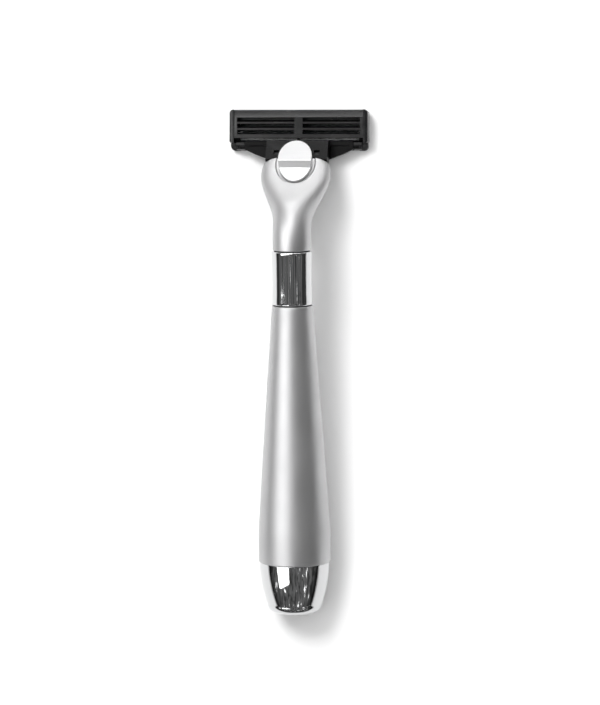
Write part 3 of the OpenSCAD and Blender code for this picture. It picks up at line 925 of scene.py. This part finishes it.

# ---------------------------------------------------------------- stage, light and camera

# Metres: the table's half width, and where the shade painted on it starts and stops getting darker
TABLE_HALF = 3.0
TABLE_PAINTED_SHADE = (0.14, 0.34)
CLUTTER_PLACE = (3.0, 1.0, 0.0)
CAMERA_PLACE = (125.9, -4.0, 1200.1)
CAMERA_TURN = (0.346, 5.982, 0.286)
CAMERA_LENS = 205.7


def floor():
    """A white table with shade painted on it, darker away from the razor, so that its rim stays quiet."""
    mesh = bpy.data.meshes.new("table")
    corners = [(-TABLE_HALF, -TABLE_HALF, 0), (TABLE_HALF, -TABLE_HALF, 0),
               (TABLE_HALF, TABLE_HALF, 0), (-TABLE_HALF, TABLE_HALF, 0)]
    mesh.from_pydata(corners, [], [(0, 1, 2, 3)])
    made = bpy.data.objects.new("table", mesh)
    bpy.context.scene.collection.objects.link(made)
    paint = Finish("table_white_painted_shade", (0.93, 0.93, 0.93), 0.6)
    away = paint.node("ShaderNodeVectorMath", {0: paint.place}, operation="LENGTH").outputs["Value"]
    # Painted shade: the table's colour darkens with distance from the razor, standing in for light that falls off
    paint.shade(paint.spread(away, 0, 1, *TABLE_PAINTED_SHADE), 1.0, 0.3)
    mesh.materials.append(paint.material)


def softbox(name, aim, distance, azimuth, tilt, size, power, glossy=True, diffuse=True):
    """An area light aimed at a point, in millimetres and watts.

    Azimuth turns from +X towards +Y, and tilt is from the vertical, both in degrees.
    """
    light = bpy.data.lights.new(name, "AREA")
    light.shape = "RECTANGLE"
    light.size, light.size_y = size[0] * MM, size[1] * MM
    light.energy = power
    made = bpy.data.objects.new(name, light)
    bpy.context.scene.collection.objects.link(made)
    a, t = math.radians(azimuth), math.radians(tilt)
    away = Vector((math.sin(t) * math.cos(a), math.sin(t) * math.sin(a), math.cos(t)))
    target = Vector(aim) * MM
    made.location = target + away * distance * MM
    made.rotation_euler = away.to_track_quat("Z", "Y").to_euler()
    made.visible_glossy = glossy
    made.visible_diffuse = diffuse


def surroundings():
    """A dim room: black at the height of the table, grey above, with bright and dark things in it."""
    world = bpy.data.worlds.new("studio")
    world.use_nodes = True
    tree = world.node_tree

    def node(kind, links, **properties):
        made = tree.nodes.new(kind)
        for name, value in properties.items():
            setattr(made, name, value)
        for name, source in links.items():
            if isinstance(source, bpy.types.NodeSocket):
                tree.links.new(source, made.inputs[name])
            else:
                made.inputs[name].default_value = source
        return made

    def spread(value, start, end, low, high):
        return node("ShaderNodeMapRange", {"Value": value, "From Min": start, "From Max": end,
                                           "To Min": low, "To Max": high}).outputs["Result"]

    way = tree.nodes.new("ShaderNodeTexCoord").outputs["Generated"]
    height = node("ShaderNodeSeparateXYZ", {"Vector": way}).outputs["Z"]
    turned = node("ShaderNodeMapping", {"Vector": way, "Location": CLUTTER_PLACE, "Scale": (1.6, 0.8, 0.8)})
    clutter = node("ShaderNodeTexNoise", {"Vector": turned.outputs["Vector"], "Scale": 6.0, "Detail": 3.0,
                                          "Distortion": 0.6}).outputs["Fac"]
    dim = spread(clutter, 0.40, 0.55, 0.05, 0.17)
    bright = spread(clutter, 0.635, 0.66, 0.0, 1.6)
    both = node("ShaderNodeMath", {0: dim, 1: bright}, operation="ADD").outputs[0]
    level = node("ShaderNodeMath", {0: both, 1: spread(height, 0.02, 0.4, 0.05, 1.0)}, operation="MULTIPLY")
    tree.links.new(level.outputs[0], tree.nodes["Background"].inputs["Strength"])
    tree.nodes["Background"].inputs["Color"].default_value = (1, 1, 1, 1)
    bpy.context.scene.world = world


def studio():
    """The table, the room and the lights."""
    floor()
    surroundings()
    # Softboxes: head and grip have theirs on the left, with a gap between them that the collar mirrors.
    # The neck's bend, the head's slope and the cartridge's chamfer have theirs beyond the cartridge.
    softbox("key_head", (0, 109, 10), 700, 180, 35, (424, 615), 2.7, diffuse=False)
    softbox("key_neck", (-50, 60, 10), 900, 90, 34, (320, 480), 2.8, diffuse=False)
    softbox("key_grip", (0, -387, 10), 700, 180, 36, (345, 520), 1.7, diffuse=False)
    softbox("north", (0, 60, 10), 900, 90, 72, (1100, 420), 2.4)
    softbox("north_low", (0, 60, 10), 900, 90, 75, (1100, 60), 1.3)
    # Light for the white table only: one from the upper left, one from above
    softbox("table_key", (0, 0, 0), 1500, 122, 33, (520, 520), 14.5, glossy=False)
    softbox("table_fill", (0, 0, 0), 1600, 0, 0, (1800, 1800), 17.5, glossy=False)


def camera():
    """Straight above the middle of the razor's length, and a little to its right."""
    lens = bpy.data.cameras.new("photo_camera")
    lens.sensor_width = 36
    lens.lens = CAMERA_LENS
    lens.clip_start, lens.clip_end = 0.01, 10
    made = bpy.data.objects.new("photo_camera", lens)
    bpy.context.scene.collection.objects.link(made)
    made.location = Vector(CAMERA_PLACE) * MM
    made.rotation_euler = [math.radians(a) for a in CAMERA_TURN]
    bpy.context.scene.camera = made


studio()
camera()
bpy.context.scene.view_settings.view_transform = "Standard"
